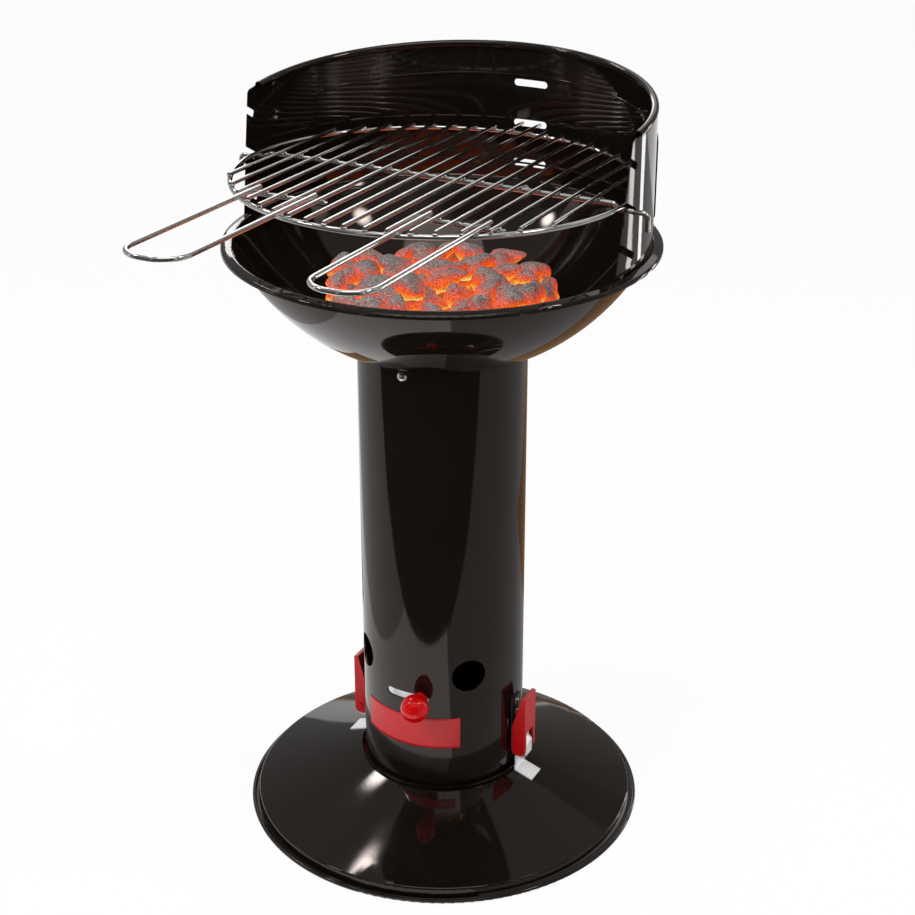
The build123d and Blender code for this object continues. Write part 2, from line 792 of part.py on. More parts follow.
# Cooking grid: ring, bars on the ring, a cross wire whose ends hang in the notches.
ring_radius = wind_radius - ring_gap
ring_front = grid_y - ring_radius
bars_a_side = int((ring_radius - bar_edge) / bar_pitch + 0.5)
long_bar_end = wind_radius + long_bar_past
cross_reach = wind_radius + cross_past
stub_y = ring_front + stub_inset
stub_inner = handle_legs[0] - stub_past
stub_outer = sqrt(ring_radius**2 - (stub_y - grid_y) ** 2) - stub_end_gap
handle_start = ring_front + handle_inset
handle_end = ring_front - handle_reach

with BuildPart(grid_plane) as grid_ring:
    Torus(ring_radius, ring_wire)
save(grid_ring, "grid_ring")


def wire_between(start, end, radius):
    first = grid_plane.from_local_coords(start)
    last = grid_plane.from_local_coords(end)
    with BuildSketch(Plane(origin=first, z_dir=last - first)) as face:
        Circle(radius)
    extrude(face.sketch, amount=(last - first).length)


with BuildPart() as grid_bars:
    for index in range(2 * bars_a_side):
        x = (index - bars_a_side + 0.5) * bar_pitch
        reach = sqrt(ring_radius**2 - x**2) + 1.5
        back = reach
        if abs(x) < bar_pitch:
            back = (long_bar_end - grid_y) / cos(radians(grid_lean))
        wire_between((x, -reach, bar_level), (x, back, bar_level), bar_wire)
save(grid_bars, "grid_bars")

under_ring = -2 * ring_wire - weld_gap
cross_plane = Plane(origin=grid_plane.origin, x_dir=(1, 0, 0), z_dir=grid_plane.y_dir * -1)

with BuildPart() as grid_cross_wire:
    with BuildLine(cross_plane) as cross_path:
        FilletPolyline(
            (-cross_reach, under_ring - cross_drop),
            (-cross_reach, under_ring),
            (-ring_radius + 3.5, under_ring),
            (-ring_radius + 11, 0),
            (ring_radius - 11, 0),
            (ring_radius - 3.5, under_ring),
            (cross_reach, under_ring),
            (cross_reach, under_ring - cross_drop),
            radius=[6, 3, 3, 3, 3, 6],
        )
    with BuildSketch(Plane(origin=cross_path.wires()[0] @ 0, z_dir=cross_path.wires()[0] % 0)):
        Circle(ring_wire)
    sweep()
save(grid_cross_wire, "grid_cross_wire")

with BuildPart() as grid_stub_wires:
    for sign in (-1, 1):
        wire_between(
            (sign * stub_inner, stub_y - grid_y, 0),
            (sign * stub_outer, stub_y - grid_y, 0),
            ring_wire,
        )
save(grid_stub_wires, "grid_stub_wires")

for side, sign in (("left", -1), ("right", 1)):
    with BuildPart() as handle:
        with BuildLine(grid_plane.offset(leg_level)) as handle_path:
            FilletPolyline(
                (sign * handle_legs[0], handle_start - grid_y),
                (sign * handle_legs[0], handle_end - grid_y),
                (sign * handle_legs[1], handle_end - grid_y),
                (sign * handle_legs[1], handle_start - grid_y),
                radius=handle_corner,
            )
        with BuildSketch(Plane(origin=handle_path.wires()[0] @ 0, z_dir=handle_path.wires()[0] % 0)):
            Circle(ring_wire)
        sweep()
    save(handle, f"grid_handle_{side}")

# Charcoal grate: a wire ring lying on the bowl's heel, bars across it.
grate_radius = heel_end.X + grate_overlap
inner_heel = heel_radius - bowl_sheet - ring_wire - seat_gap
grate_height = heel_centre.Y - sqrt(inner_heel**2 - (grate_radius - heel_centre.X) ** 2)
grate_top = grate_height + ring_wire + weld_gap + 2 * bar_wire

with BuildPart() as charcoal_grate:
    with BuildSketch(Plane.XZ):
        with Locations((grate_radius, grate_height)):
            Circle(ring_wire)
    revolve(axis=Axis.Z)
    bars = int((grate_radius - 6) // grate_pitch)
    for index in range(-bars, bars + 1):
        x = index * grate_pitch
        reach = sqrt(grate_radius**2 - x**2) + 1.0
        with BuildSketch(Plane(origin=(x, -reach, grate_top - bar_wire), z_dir=(0, 1, 0))):
            Circle(bar_wire)
        extrude(amount=2 * reach)
save(charcoal_grate, "charcoal_grate")


# Charcoal: lumps heaped in three layers, each cut flat where it leans on its neighbours.
def shake(a, b, c):
    value = sin(a * 12.9898 + b * 78.233 + c * 37.719) * 43758.5453
    return 2 * (value - int(value // 1)) - 1


lump_reach = [grate_radius + past for past in lump_reach_past]
lump_seeds = []
row_pitch = lump_pitch * sin(radians(60))
rows = ceil(max(lump_reach) / row_pitch)
for layer, reach in enumerate(lump_reach):
    shift = row_pitch / 3 * (layer % 3)
    for row in range(-rows - 1, rows + 2):
        for column in range(-rows - 2, rows + 3):
            x = (column + (row % 2) / 2) * lump_pitch + 3.5 * shake(row, column, layer)
            y = row * row_pitch + 2 * shift - row_pitch / 3 + 3.5 * shake(column, layer, row)
            if hypot(x, y) < reach:
                dome = -6.0 * (hypot(x, y) / lump_reach[0]) ** 2 * layer / 2
                z = grate_top + 0.72 * lump_size + layer * lump_rise + dome + 2.0 * shake(layer, row, column)
                lump_seeds.append(Vector(x, y, z))


def lump(number):
    centre = lump_seeds[number]
    turn = Location(centre, (90 * shake(number, 1, 2), 90 * shake(number, 3, 4), 90 * shake(number, 5, 6)))
    with BuildPart(Plane(turn)) as stone:
        Box(1.7 * lump_size, 2.05 * lump_size, 1.8 * lump_size)
        chamfer(stone.edges(), 0.34 * lump_size)
        for other in lump_seeds:
            between = other - centre
            if 0 < between.length < 2.4 * lump_size:
                middle = centre + between * 0.5 - between.normalized() * (lump_gap / 2)
                split(bisect_by=Plane(origin=middle, z_dir=between), keep=Keep.BOTTOM)
        split(bisect_by=Plane(origin=(0, 0, grate_top + seat_gap)), keep=Keep.TOP)
    return stone.part


lumps = [lump(number) for number in range(len(lump_seeds))]

with BuildPart() as charcoal:
    add(lumps)
save(charcoal, "charcoal")
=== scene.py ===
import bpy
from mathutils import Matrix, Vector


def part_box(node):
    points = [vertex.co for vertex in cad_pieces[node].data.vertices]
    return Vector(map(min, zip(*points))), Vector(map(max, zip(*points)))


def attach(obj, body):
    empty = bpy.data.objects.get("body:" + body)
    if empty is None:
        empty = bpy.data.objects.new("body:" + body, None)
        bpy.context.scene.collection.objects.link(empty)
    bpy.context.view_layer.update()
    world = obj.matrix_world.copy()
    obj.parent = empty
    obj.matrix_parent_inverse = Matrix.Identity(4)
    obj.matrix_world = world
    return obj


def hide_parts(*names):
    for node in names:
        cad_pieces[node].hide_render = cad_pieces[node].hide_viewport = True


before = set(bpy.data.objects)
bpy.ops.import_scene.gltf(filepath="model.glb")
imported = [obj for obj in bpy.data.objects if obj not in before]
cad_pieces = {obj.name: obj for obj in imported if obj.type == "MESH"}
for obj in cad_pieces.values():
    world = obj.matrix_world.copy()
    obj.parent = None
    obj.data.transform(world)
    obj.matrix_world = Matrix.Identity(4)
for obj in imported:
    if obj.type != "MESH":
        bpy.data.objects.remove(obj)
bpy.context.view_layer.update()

import math
import random

import bmesh
import bpy
from mathutils import Vector

# Base plate: a cone pressed from steel sheet, with a short skirt and a flat foot that ends in
# a rolled edge. Black vitreous enamel is fired over the whole sheet, so it is glossy like glass,
# with a faint orange peel and a few specks.
join_distance, crease_angle = 0.000004, 70.0
speck_dull, enamel_ior = 0.18, 1.53


def place(tree, kind, values=(), **settings):
    piece = tree.nodes.new(kind)
    for name, value in settings.items():
        setattr(piece, name, value)
    for socket, value in dict(values).items():
        piece.inputs[socket].default_value = value
    return piece


def finish(name):
    coat = bpy.data.materials.new(name)
    coat.use_nodes = True
    return coat, coat.node_tree, coat.node_tree.nodes["Principled BSDF"]


def two_tones(tree, first, second):
    return place(tree, "ShaderNodeMix", {"A": (*first, 1), "B": (*second, 1)}, data_type="RGBA")


def sockets(tree, given, made):
    for way, pairs in (("INPUT", given), ("OUTPUT", made)):
        for name, kind in pairs:
            tree.interface.new_socket(name, in_out=way, socket_type="NodeSocket" + kind)
    return place(tree, "NodeGroupInput"), place(tree, "NodeGroupOutput")


def fired_skin_group():
    group = bpy.data.node_groups.new("fired_skin", "ShaderNodeTree")
    ends = sockets(
        group,
        [("Place", "Vector"), ("Peel Scale", "Float")],
        [("Peel", "Float"), ("Smudge", "Float"), ("Speck", "Float")],
    )
    peel = place(group, "ShaderNodeTexNoise", {"Detail": 2.0, "Roughness": 0.45})
    smudge = place(group, "ShaderNodeTexNoise", {"Scale": 17.0, "Detail": 5.0, "Roughness": 0.62})
    cells = place(group, "ShaderNodeTexVoronoi", {"Scale": 210.0})
    speck = place(group, "ShaderNodeMapRange", {"From Min": 0.13, "From Max": 0.06})
    patches = place(group, "ShaderNodeTexNoise", {"Scale": 31.0, "Detail": 1.0})
    rare = place(group, "ShaderNodeMapRange", {"From Min": 0.6, "From Max": 0.7})
    both = place(group, "ShaderNodeMath", operation="MULTIPLY")
    link = group.links.new
    for texture in (peel, smudge, cells, patches):
        link(ends[0].outputs["Place"], texture.inputs["Vector"])
    link(ends[0].outputs["Peel Scale"], peel.inputs["Scale"])
    link(cells.outputs["Distance"], speck.inputs["Value"])
    link(patches.outputs["Fac"], rare.inputs["Value"])
    link(speck.outputs["Result"], both.inputs[0])
    link(rare.outputs["Result"], both.inputs[1])
    link(peel.outputs["Fac"], ends[1].inputs["Peel"])
    link(smudge.outputs["Fac"], ends[1].inputs["Smudge"])
    link(both.outputs["Value"], ends[1].inputs["Speck"])
    return group


fired_skin = fired_skin_group()


def enamel_finish(name, deep, lit, smooth, dull, peel_scale, peel_depth, tint=(1.0, 1.0, 1.0)):
    coat, tree, shader = finish(name)
    link = tree.links.new
    spot = place(tree, "ShaderNodeTexCoord")
    skin = place(tree, "ShaderNodeGroup", {"Peel Scale": peel_scale}, node_tree=fired_skin)
    colour = two_tones(tree, deep, lit)
    gloss = place(
        tree,
        "ShaderNodeMapRange",
        {"From Min": 0.3, "From Max": 0.75, "To Min": smooth, "To Max": dull},
    )
    rough = place(tree, "ShaderNodeMath", {1: speck_dull}, operation="MULTIPLY_ADD")
    bump = place(tree, "ShaderNodeBump", {"Strength": 0.35, "Distance": peel_depth})
    link(spot.outputs["Object"], skin.inputs["Place"])
    link(skin.outputs["Smudge"], colour.inputs["Factor"])
    link(colour.outputs["Result"], shader.inputs["Base Color"])
    link(skin.outputs["Smudge"], gloss.inputs["Value"])
    link(skin.outputs["Speck"], rough.inputs[0])
    link(gloss.outputs["Result"], rough.inputs[2])
    link(rough.outputs["Value"], shader.inputs["Roughness"])
    link(skin.outputs["Peel"], bump.inputs["Height"])
    link(bump.outputs["Normal"], shader.inputs["Normal"])
    shader.inputs["IOR"].default_value = enamel_ior
    shader.inputs["Specular Tint"].default_value = (*tint, 1)
    return coat


black_enamel = enamel_finish(
    "black_enamel",
    deep=(0.0042, 0.003, 0.0022),
    lit=(0.0075, 0.0055, 0.0042),
    smooth=0.035,
    dull=0.085,
    peel_scale=420.0,
    peel_depth=0.00002,
    tint=(1.0, 0.85, 0.79),
)


def pressed_edges_tree():
    tree = bpy.data.node_groups.new("pressed_edges", "GeometryNodeTree")
    ends = sockets(
        tree,
        [("Geometry", "Geometry"), ("Join Distance", "Float"), ("Crease Angle", "Float")],
        [("Geometry", "Geometry")],
    )
    join = place(tree, "GeometryNodeMergeByDistance")
    faces = place(tree, "GeometryNodeSetShadeSmooth", domain="FACE")
    edges = place(tree, "GeometryNodeSetShadeSmooth", domain="EDGE")
    angle = place(tree, "GeometryNodeInputMeshEdgeAngle")
    soft = place(tree, "FunctionNodeCompare", data_type="FLOAT", operation="LESS_EQUAL")
    link = tree.links.new
    link(ends[0].outputs["Geometry"], join.inputs["Geometry"])
    link(ends[0].outputs["Join Distance"], join.inputs["Distance"])
    link(join.outputs["Geometry"], faces.inputs["Geometry"])
    link(faces.outputs["Geometry"], edges.inputs["Geometry"])
    link(angle.outputs["Unsigned Angle"], soft.inputs[0])
    link(ends[0].outputs["Crease Angle"], soft.inputs[1])
    link(soft.outputs["Result"], edges.inputs["Shade Smooth"])
    link(edges.outputs["Geometry"], ends[1].inputs["Geometry"])
    return tree


pressed_edges = pressed_edges_tree()


def set_inputs(modifier, values):
    for item in modifier.node_group.interface.items_tree:
        if item.in_out == "INPUT" and item.name in values:
            modifier[item.identifier] = values[item.name]


def dress(names, coat, crease=crease_angle):
    for name in names:
        piece = cad_pieces[name]
        piece.data.materials.clear()
        piece.data.materials.append(coat)
        edges = piece.modifiers.new("pressed_edges", "NODES")
        edges.node_group = pressed_edges
        set_inputs(edges, {"Join Distance": join_distance, "Crease Angle": math.radians(crease)})
        flats = piece.modifiers.new("flat_faces", "WEIGHTED_NORMAL")
        flats.keep_sharp = True


dress(["base_plate"], black_enamel)

# Ash basin: a drawn cup in the middle of the base, hung by its flange. Its upturned lip shows
# as a ring round the foot of the pillar. Same enamel as the base.
dress(["ash_basin"], black_enamel)


# Keepers: bent plates spot welded to the cone, one under each latch, in a pale zinc plating.
# The bright plating of the screws, rivets and bolts has fine brush lines and a few dull patches.
def plated_finish(name, bright, dull_tone, smooth, dull, brush_scale, brush_depth, metal=1.0):
    coat, tree, shader = finish(name)
    link = tree.links.new
    spot = place(tree, "ShaderNodeTexCoord")
    turn = place(tree, "ShaderNodeMapping", {"Scale": brush_scale})
    lines = place(tree, "ShaderNodeTexNoise", {"Scale": 1.0, "Detail": 3.0})
    cloud = place(tree, "ShaderNodeTexNoise", {"Scale": 90.0, "Detail": 4.0, "Roughness": 0.6})
    colour = two_tones(tree, bright, dull_tone)
    gloss = place(
        tree,
        "ShaderNodeMapRange",
        {"From Min": 0.3, "From Max": 0.7, "To Min": smooth, "To Max": dull},
    )
    bump = place(tree, "ShaderNodeBump", {"Strength": 0.3, "Distance": brush_depth})
    link(spot.outputs["Object"], turn.inputs["Vector"])
    link(turn.outputs["Vector"], lines.inputs["Vector"])
    link(spot.outputs["Object"], cloud.inputs["Vector"])
    link(cloud.outputs["Fac"], colour.inputs["Factor"])
    link(colour.outputs["Result"], shader.inputs["Base Color"])
    link(cloud.outputs["Fac"], gloss.inputs["Value"])
    link(gloss.outputs["Result"], shader.inputs["Roughness"])
    link(lines.outputs["Fac"], bump.inputs["Height"])
    link(bump.outputs["Normal"], shader.inputs["Normal"])
    shader.inputs["Metallic"].default_value = metal
    return coat


plated_steel = plated_finish(
    "plated_steel",
    bright=(0.93, 0.925, 0.915),
    dull_tone=(0.8, 0.79, 0.77),
    smooth=0.1,
    dull=0.26,
    brush_scale=(900, 120, 900),
    brush_depth=0.00004,
)
pale_zinc = {
    "bright": (0.97, 0.97, 0.965),
    "dull_tone": (0.88, 0.88, 0.87),
    "smooth": 0.28,
    "dull": 0.42,
    "brush_scale": (900, 120, 900),
    "brush_depth": 0.00004,
    "metal": 0.3,
}
white_zinc = plated_finish("white_zinc", **pale_zinc)
dress(["keeper_left", "keeper_right"], white_zinc)

# Pillar: a tube rolled from sheet, with four round air holes and a slot for the damper knob.
# Enamelled like the base.
dress(["pillar_tube"], black_enamel)

# Label: a long panel of thin red film, stuck on the pillar under the damper slot. It bends round
# with the tube, and its face is plain and satin.
label_low, label_high = 0.1056, 0.1424
label_radius, label_half = 0.08695, math.radians(38.6)
label_sheet = 0.00015
label_columns, label_rows = 96, 12


def new_piece(name, data):
    piece = bpy.data.objects.new(name, data)
    bpy.context.collection.objects.link(piece)
    return piece


def curved_label():
    shape = bmesh.new()
    grid = []
    for column in range(label_columns + 1):
        turn = -label_half + 2 * label_half * column / label_columns
        x, y = label_radius * math.sin(turn), -label_radius * math.cos(turn)
        grid.append([
            shape.verts.new((x, y, label_low + (label_high - label_low) * row / label_rows))
            for row in range(label_rows + 1)
        ])
    for near, far in zip(grid, grid[1:]):
        for row in range(label_rows):
            shape.faces.new((near[row], far[row], far[row + 1], near[row + 1]))
    mesh = bpy.data.meshes.new("pillar_label")
    shape.to_mesh(mesh)
    shape.free()
    mesh.shade_smooth()
    panel = new_piece("pillar_label", mesh)
    sheet = panel.modifiers.new("sheet", "SOLIDIFY")
    sheet.thickness = label_sheet
    sheet.offset = 1.0
    return panel


label_red = enamel_finish(
    "label_red",
    deep=(0.52, 0.012, 0.016),
    lit=(0.6, 0.018, 0.022),
    smooth=0.3,
    dull=0.42,
    peel_scale=700.0,
    peel_depth=0.00003,
)
label = curved_label()
label.data.materials.append(label_red)
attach(label, "stand")


# Damper sleeve: a split ring of zinc plated sheet that springs against the inside of the pillar.
# The zinc has grown in crystals, so patches of it shine differently.
def zinc_finish(name):
    coat, tree, shader = finish(name)
    link = tree.links.new
    spot = place(tree, "ShaderNodeTexCoord")
    crystals = place(tree, "ShaderNodeTexVoronoi", {"Scale": 130.0, "Randomness": 1.0})
    tone = place(tree, "ShaderNodeSeparateColor")
    colour = two_tones(tree, (0.62, 0.63, 0.64), (0.82, 0.82, 0.81))
    gloss = place(tree, "ShaderNodeMapRange", {"To Min": 0.22, "To Max": 0.42})
    link(spot.outputs["Object"], crystals.inputs["Vector"])
    link(crystals.outputs["Color"], tone.inputs["Color"])
    link(tone.outputs["Red"], colour.inputs["Factor"])
    link(colour.outputs["Result"], shader.inputs["Base Color"])
    link(tone.outputs["Green"], gloss.inputs["Value"])
    link(gloss.outputs["Result"], shader.inputs["Roughness"])
    shader.inputs["Metallic"].default_value = 1.0
    return coat


galvanised = zinc_finish("galvanised")
dress(["damper_ring"], galvanised)

# Damper knob: a red moulded ball on a short neck, held by a plated screw and nut.
# Gloss plastic, very smooth, with a hint of flow in the colour.
knob_red = enamel_finish(
    "knob_red",
    deep=(0.52, 0.0006, 0.0008),
    lit=(0.6, 0.001, 0.0014),
    smooth=0.07,
    dull=0.13,
    peel_scale=260.0,
    peel_depth=0.00004,
)
dress(["damper_knob"], knob_red)
dress(["damper_screw", "damper_nut"], plated_steel)

# Latch brackets: U shapes bent from steel sheet, painted satin black and riveted to the pillar.
# Their ears carry the pivots of the levers.
black_paint = enamel_finish(
    "black_paint",
    deep=(0.008, 0.008, 0.0085),
    lit=(0.018, 0.018, 0.018),
    smooth=0.28,
    dull=0.42,
    peel_scale=900.0,
    peel_depth=0.00005,
)
dress(["latch_bracket_left", "latch_bracket_right"], black_paint)
dress(["bracket_rivets"], plated_steel)

# Latch levers: channels folded from sheet, in gloss red paint, with an arch cut out for the
# tongue. The ends of their pivots and of the tongue's pins are painted over with them.
lever_red = enamel_finish(
    "lever_red",
    deep=(0.44, 0.005, 0.007),
    lit=(0.52, 0.009, 0.012),
    smooth=0.14,
    dull=0.24,
    peel_scale=520.0,
    peel_depth=0.00006,
)
lever_shine, lever_crease = 0.28, 40.0
lever_shader = lever_red.node_tree.nodes["Principled BSDF"]
lever_shader.inputs["Specular IOR Level"].default_value = lever_shine
dress(["latch_lever_left", "latch_lever_right"], lever_red, lever_crease)
dress(["latch_pivots", "bail_pin_left", "bail_pin_right"], lever_red)

# Latch tongues: plated straps with four pressed ribs and a hook that pulls under the keeper,
# each on a pin across its lever. Thin dark lines of painted shade lie in the grooves under the
# ribs.
ribbed_zinc = plated_finish("ribbed_zinc", **pale_zinc)
lowest_groove, rib_pitch, groove_half = 0.0734, 0.0036, 0.001
ribs_middle, ribs_half = 0.0795, 0.0068
groove_shade_core, groove_shade_tone = 0.7, 0.06


def tone_product(tree):
    return place(tree, "ShaderNodeMix", {"Factor": 1.0}, data_type="RGBA", blend_type="MULTIPLY")


# Painted shade: the base colour is darkened in a thin band under each rib, where the rib's shadow
# falls.
def painted_groove_shade(coat):
    tree = coat.node_tree
    shader = tree.nodes["Principled BSDF"]
    clean = shader.inputs["Base Color"].links[0].from_socket
    spot = place(tree, "ShaderNodeTexCoord")
    axes = place(tree, "ShaderNodeSeparateXYZ")
    rise = place(tree, "ShaderNodeMath", {1: lowest_groove}, operation="SUBTRACT")
    off = place(tree, "ShaderNodeMath", {1: rib_pitch / 2}, operation="PINGPONG")
    line = place(
        tree,
        "ShaderNodeMapRange",
        {"From Min": groove_half * groove_shade_core, "From Max": groove_half, "To Min": groove_shade_tone},
    )
    inside = place(tree, "ShaderNodeMath", {1: ribs_middle, 2: ribs_half}, operation="COMPARE")
    outside = place(tree, "ShaderNodeMath", {0: 1.0}, operation="SUBTRACT")
    shade = place(tree, "ShaderNodeMath", operation="MAXIMUM")
    colour = tone_product(tree)
    link = tree.links.new
    link(spot.outputs["Object"], axes.inputs["Vector"])
    link(axes.outputs["Z"], rise.inputs[0])
    link(rise.outputs["Value"], off.inputs[0])
    link(off.outputs["Value"], line.inputs["Value"])
    link(axes.outputs["Z"], inside.inputs[0])
    link(inside.outputs["Value"], outside.inputs[1])
    link(line.outputs["Result"], shade.inputs[0])
    link(outside.outputs["Value"], shade.inputs[1])
    link(clean, colour.inputs["A"])
    link(shade.outputs["Value"], colour.inputs["B"])
    link(colour.outputs["Result"], shader.inputs["Base Color"])


painted_groove_shade(ribbed_zinc)
dress(["latch_bail_left", "latch_bail_right"], ribbed_zinc)

# Bowl: spun and pressed from one sheet, with a turned rim and a neck that goes into the pillar.
# Same enamel as the base. The dome bolts that hold it are plated.
dress(["bowl"], black_enamel)
dress(["bowl_bolts", "bowl_nuts"], plated_steel)

# Windshield: a sheet rolled to a half round, with a rolled top edge, slanted notches in its ends,
# slots at the back and a pressed panel with a rounded crease round it. Enamelled like the bowl
# and bolted on by three tabs.
dress(["windshield"], black_enamel)
dress(["windshield_bolts", "windshield_nuts"], plated_steel)
panel_wall, panel_front = 0.2062, 0.0795
panel_low, panel_high, panel_slope = 0.668, 0.7461, 0.0818
panel_corner, crease_radius = 0.013, 0.0011
wall_steps, corner_steps, crease_steps = 32, 8, 3


def panel_outline():
    inner = panel_front + panel_corner
    top_middle = panel_high + panel_slope * inner - panel_corner
    low_middle = panel_low + panel_corner
    back = math.acos(inner / panel_wall)
    side = []
    for step in range(wall_steps + 1):
        side.append((panel_wall * math.cos(back * step / wall_steps), panel_low))
    for middle, start, steps in (
        (low_middle, 270, range(1, corner_steps + 1)),
        (top_middle, 180, range(corner_steps)),
    ):
        for step in steps:
            turn = math.radians(start - 90 * step / corner_steps)
            y, z = inner + panel_corner * math.cos(turn), middle + panel_corner * math.sin(turn)
            side.append((y, z))
    for step in range(wall_steps + 1):
        y = panel_wall * math.cos(back * (wall_steps - step) / wall_steps)
        side.append((y, panel_high + panel_slope * y))
    right = [(math.sqrt(max(panel_wall**2 - y**2, 0.0)), y, z) for y, z in side]
    left = [(-x, y, z) for x, y, z in reversed(right)]
    return right + left[1:-1]


def panel_crease():
    points = panel_outline()
    path = bpy.data.curves.new("panel_crease", "CURVE")
    path.dimensions = "3D"
    path.bevel_depth = crease_radius
    path.bevel_resolution = crease_steps
    run = path.splines.new("POLY")
    run.points.add(len(points) - 1)
    for knot, point in zip(run.points, points):
        knot.co = (*point, 1.0)
    run.use_cyclic_u = True
    drawn = new_piece("panel_crease_path", path)
    ready = drawn.evaluated_get(bpy.context.evaluated_depsgraph_get())
    mesh = bpy.data.meshes.new_from_object(ready)
    bpy.data.objects.remove(drawn)
    mesh.shade_smooth()
    return new_piece("panel_crease", mesh)


crease = panel_crease()
crease.data.materials.append(black_enamel)
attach(crease, "stand")

# Charcoal grate: steel wires welded to a ring, with no plating. It lies loose in the foot of the
# bowl, and the fire has darkened and scaled it.
bare_wire = plated_finish(
    "bare_wire",
    bright=(0.2, 0.18, 0.165),
    dull_tone=(0.08, 0.065, 0.055),
    smooth=0.4,
    dull=0.7,
    brush_scale=(500, 500, 500),
    brush_depth=0.0002,
)
dress(["charcoal_grate"], bare_wire)

# Charcoal: broken lumps heaped on the grate and burning. The tops are grey with speckled ash, the
# sides and the gaps between the lumps glow red, orange and yellow.
heap_floor, heap_top, heap_fall = 0.5565, 0.629, 0.95
heap_reach, heap_pitch, heap_step, heap_layers = 0.1175, 0.031, 0.0165, 4
row_share, heap_scatter, heap_sag, heap_lift = 0.866, 0.008, 0.004, 0.005
bed_edge, bed_slope = 0.1, 0.6
lump_radius, lump_rest, lump_cover = 0.0185, 0.62, 0.6
lump_shapes, shape_seed, lump_jolt = 7, 40, 0.5
lump_least, lump_most = (0.75, 0.62, 0.55), (1.5, 1.15, 1.0)
lump_tilt, whole_turn, wave_spread = 0.45, 6.283, 61.0
glow_start, glow_by_height, glow_by_lean, glow_by_depth = 0.78, -0.66, -0.42, 9.0
patch_share, speckle_share, heat_scale, heat_shift = 1.0, 0.3, 0.625, -0.41


def heap_points():
    dice = random.Random(11)
    points = []
    rows = math.ceil(heap_reach / (heap_pitch * row_share))
    for layer in range(heap_layers):
        for row in range(-rows, rows + 1):
            for column in range(-rows, rows + 1):
                x = (column + (row + layer) % 2 / 2) * heap_pitch
                y = (row + layer / 3) * heap_pitch * row_share
                x += dice.uniform(-heap_scatter, heap_scatter)
                y += dice.uniform(-heap_scatter, heap_scatter)
                out = math.hypot(x, y)
                bed = heap_floor + max(0.0, out - bed_edge) * bed_slope
                z = bed + lump_radius * lump_rest + layer * heap_step
                z += dice.uniform(-heap_sag, heap_lift)
                cover = heap_top - heap_fall * out**2 - lump_radius * lump_cover
                if out < heap_reach and z < cover:
                    points.append((x, y, z))
    return points


def random_vector(tree, least, most):
    return place(tree, "FunctionNodeRandomValue", {0: least, 1: most}, data_type="FLOAT_VECTOR")


def stored(tree, name, domain):
    kind = "GeometryNodeStoreNamedAttribute"
    return place(tree, kind, {"Name": name}, data_type="FLOAT", domain=domain)


def pushed_out(tree, surface, waves, amount):
    out = place(tree, "GeometryNodeInputNormal")
    level = place(tree, "ShaderNodeMath", {1: 0.5}, operation="SUBTRACT")
    depth = place(tree, "ShaderNodeMath", operation="MULTIPLY")
    push = place(tree, "ShaderNodeVectorMath", operation="SCALE")
    moved = place(tree, "GeometryNodeSetPosition")
    link = tree.links.new
    link(waves, level.inputs[0])
    link(level.outputs["Value"], depth.inputs[0])
    link(amount, depth.inputs[1])
    link(out.outputs["Normal"], push.inputs[0])
    link(depth.outputs["Value"], push.inputs["Scale"])
    link(surface, moved.inputs["Geometry"])
    link(push.outputs["Vector"], moved.inputs["Offset"])
    return moved.outputs["Geometry"]


def coated(tree, surface, finish_given, end):
    smooth = place(tree, "GeometryNodeSetShadeSmooth", domain="FACE")
    coat = place(tree, "GeometryNodeSetMaterial")
    link = tree.links.new
    link(surface, smooth.inputs["Geometry"])
    link(smooth.outputs["Geometry"], coat.inputs["Geometry"])
    link(finish_given, coat.inputs["Material"])
    link(coat.outputs["Geometry"], end.inputs["Geometry"])


